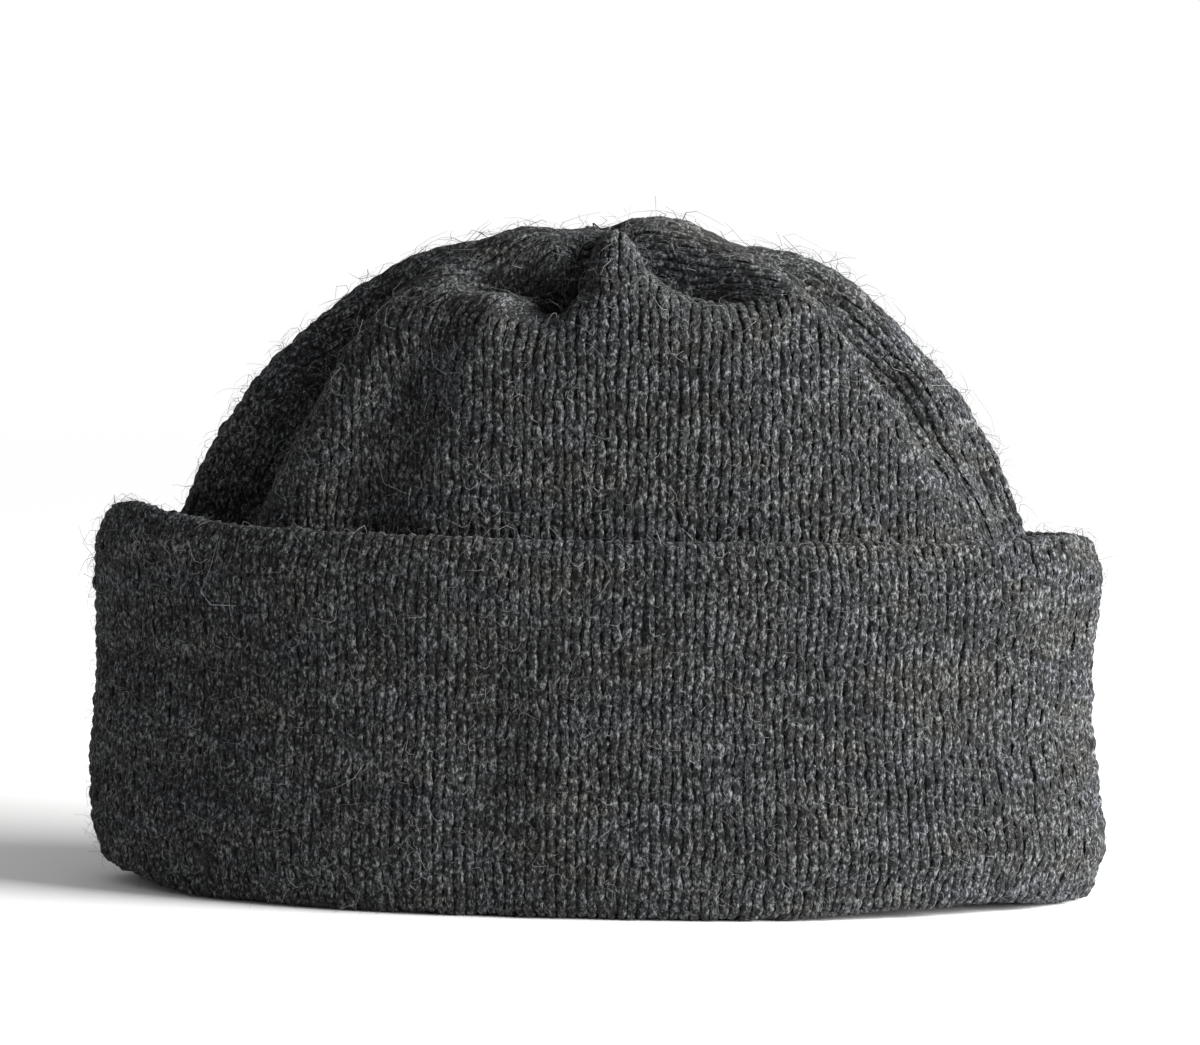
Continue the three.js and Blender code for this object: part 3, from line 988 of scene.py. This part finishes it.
def buildStage():
    scene = bpy.context.scene
    span = studio["floorSpan"]
    mesh = bpy.data.meshes.new("floor")
    corners = [(-span, -span, 0), (span, -span, 0), (span, span, 0), (-span, span, 0)]
    mesh.from_pydata(corners, [], [(0, 1, 2, 3)])
    floor = bpy.data.objects.new("floor", mesh)
    scene.collection.objects.link(floor)
    material = bpy.data.materials.new("pale floor")
    material.use_nodes = True
    shader = material.node_tree.nodes["Principled BSDF"]
    shader.inputs["Base Color"].default_value = studio["floorColor"]
    shader.inputs["Roughness"].default_value = 0.9
    nodes = material.node_tree
    place = addNode(nodes, "ShaderNodeTexCoord").outputs["Object"]
    away = addNode(nodes, "ShaderNodeVectorMath", {0: place}, operation="LENGTH").outputs["Value"]
    fade = addNode(nodes, "ShaderNodeMapRange", {0: away, 1: studio["whiteFrom"], 2: studio["whiteTo"]},
                   interpolation_type="SMOOTHSTEP").outputs[0]
    seen = addNode(nodes, "ShaderNodeLightPath").outputs["Is Camera Ray"]
    glow = addNode(nodes, "ShaderNodeEmission", {"Color": (1, 1, 1, 1), "Strength": 1.0})
    both = addNode(nodes, "ShaderNodeMixShader", {0: addMath(nodes, "MULTIPLY", fade, seen),
                                                  1: shader.outputs[0], 2: glow.outputs[0]})
    nodes.links.new(both.outputs[0], nodes.nodes["Material Output"].inputs["Surface"])
    mesh.materials.append(material)
    world = bpy.data.worlds.new("studio")
    world.use_nodes = True
    sky = world.node_tree.nodes["Background"]
    sky.inputs["Color"].default_value = (1, 1, 1, 1)
    sky.inputs["Strength"].default_value = studio["ambient"]
    white = addNode(world.node_tree, "ShaderNodeBackground", {"Color": (1, 1, 1, 1), "Strength": 1.0})
    seen = addNode(world.node_tree, "ShaderNodeLightPath").outputs["Is Camera Ray"]
    both = addNode(world.node_tree, "ShaderNodeMixShader", {0: seen, 1: sky.outputs[0], 2: white.outputs[0]})
    world.node_tree.links.new(both.outputs[0], world.node_tree.nodes["World Output"].inputs["Surface"])
    scene.world = world
    scene.view_settings.view_transform = "Standard"


view = {
    "scale": 0.2207 * mm,  # metres on the hat for a pixel of the 1200 x 1045 image
    "imageWidth": 1200,
    "imageHeight": 1045,
    "originX": 596.5,  # the pixel of the rim's centre
    "originY": 889.0,
    "elevation": 7.4,
    "roll": 1.2,
    "distance": 2.6,
    "sensor": 36.0,
}


def buildCamera():
    lens = bpy.data.cameras.new("camera")
    lens.sensor_width = view["sensor"]
    lens.lens = view["sensor"] * view["distance"] / (view["imageWidth"] * view["scale"])
    lens.dof.use_dof = False
    camera = bpy.data.objects.new("camera", lens)
    bpy.context.scene.collection.objects.link(camera)
    elevation = math.radians(view["elevation"])
    away = Vector((0, -math.cos(elevation), math.sin(elevation)))
    level = (-away).to_track_quat("-Z", "Y")
    turned = level @ Matrix.Rotation(math.radians(view["roll"]), 4, "Z").to_quaternion()
    right = turned @ Vector((1, 0, 0))
    up = turned @ Vector((0, 1, 0))
    middle = (right * (view["imageWidth"] / 2 - view["originX"])
              + up * (view["originY"] - view["imageHeight"] / 2)) * view["scale"]
    camera.location = away * view["distance"] + middle
    camera.rotation_euler = turned.to_euler()
    bpy.context.scene.camera = camera


lamps = (  # name, place in metres, size, watts
    ("key from the right", (1.3, -0.36, 0.52), 0.9, 92),
)


def buildLights():
    for name, place, size, watts in lamps:
        light = bpy.data.lights.new(name, "AREA")
        light.energy = watts
        light.size = size
        lamp = bpy.data.objects.new(name, light)
        bpy.context.scene.collection.objects.link(lamp)
        lamp.location = place
        lamp.rotation_euler = (Vector((0, 0, 0.07)) - Vector(place)).to_track_quat("-Z", "Y").to_euler()


def knitCuff():
    wrap, perimeter, length, faceStart = cuffWrap()
    wales = 4 * round(perimeter / stitch["waleWidth"] / 4)
    width = perimeter / wales
    rows = int((length - stitch["spare"] - stitch["courseHeight"]) / stitch["courseHeight"])
    low, high = faceStart - 1.5, (rows - 1) * stitch["courseHeight"]
    knit, hairs = [], []
    for quarter, name in enumerate(("front_left", "front_right", "back_right", "back_left")):
        # the first quarter starts at the left end, and the others follow counterclockwise seen from above
        first = (quarter - 1) * wales // 4
        columns = [first + i + 0.5 for i in range(wales // 4)]
        places = [(column * width, (row + 1) * stitch["courseHeight"])
                  for column in columns for row in range(rows)]
        knit.append(wrapStitches("cuff_stitches_" + name, places, math.pi, quarter * 10, wrap, yarn))
        outline = [(first * width, (first + wales // 4) * width, up) for up in (low, high)]
        hairs.append(wrapHairs("cuff_fuzz_" + name, outline, 200 + quarter, wrap, hair, "short"))
        hairs.append(wrapHairs("cuff_stray_hairs_" + name, outline, 300 + quarter, wrap, hair, "stray"))
    return knit, hairs


def knitCrown():
    descents, height, start = crownRows()
    knit, hairs = [], []
    for number, (name, middle, seamRight, seamLeft) in enumerate(crownPanels):
        wrap, span = crownWrap(middle)
        places, outline = [], []
        for row in range(int((start - stitch["tipGap"]) / stitch["courseHeight"]) + 1):
            up = row * stitch["courseHeight"]
            low, high = span(np.interp(-up, -height, descents), seamRight, seamLeft)
            least = math.ceil(low / stitch["waleWidth"] + stitch["seamGap"])
            most = math.floor(high / stitch["waleWidth"] - stitch["seamGap"])
            places += [(column * stitch["waleWidth"], up) for column in range(least, most + 1)]
            outline.append((low, high, up))
        knit.append(wrapStitches("crown_stitches_" + name, places, 0.0, 100 + number * 10, wrap, yarn))
        hairs.append(wrapHairs("crown_fuzz_" + name, outline, 400 + number, wrap, hair, "short"))
        hairs.append(wrapHairs("crown_stray_hairs_" + name, outline, 500 + number, wrap, hair, "stray"))
    return knit, hairs


buildCamera()
buildLights()
buildStage()
stitchNodes = stitchTree()
hairNodes = hairTree()
melange = melangeGroup()
knitNodes = knitGroup()
yarn = woolMaterial("charcoal wool yarn", melange)
crownGround = woolMaterial("charcoal wool inside the crown", melange, knitNodes, wool["crownCourses"])
cuffGround = woolMaterial("charcoal wool inside the cuff", melange, knitNodes, wool["cuffCourses"])
hair = hairMaterial()
crownPiece = crownSkin()
cuffPiece = cuffSkin()
for piece, node, material in ((crownPiece, "crown", crownGround), (cuffPiece, "cuff", cuffGround)):
    piece.data.materials.append(material)
    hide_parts(node)
print("skins made")
cuffKnit, cuffHairs = knitCuff()
crownKnit, crownHairs = knitCrown()
pieces = [crownPiece, cuffPiece] + cuffKnit + crownKnit + cuffHairs + crownHairs
for piece in pieces:
    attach(piece, "root")
triangles = [sum(len(face.vertices) - 2 for face in piece.data.polygons) for piece in pieces]
print("knit made:", sum(triangles), "triangles in all and", max(triangles), "in the largest piece")
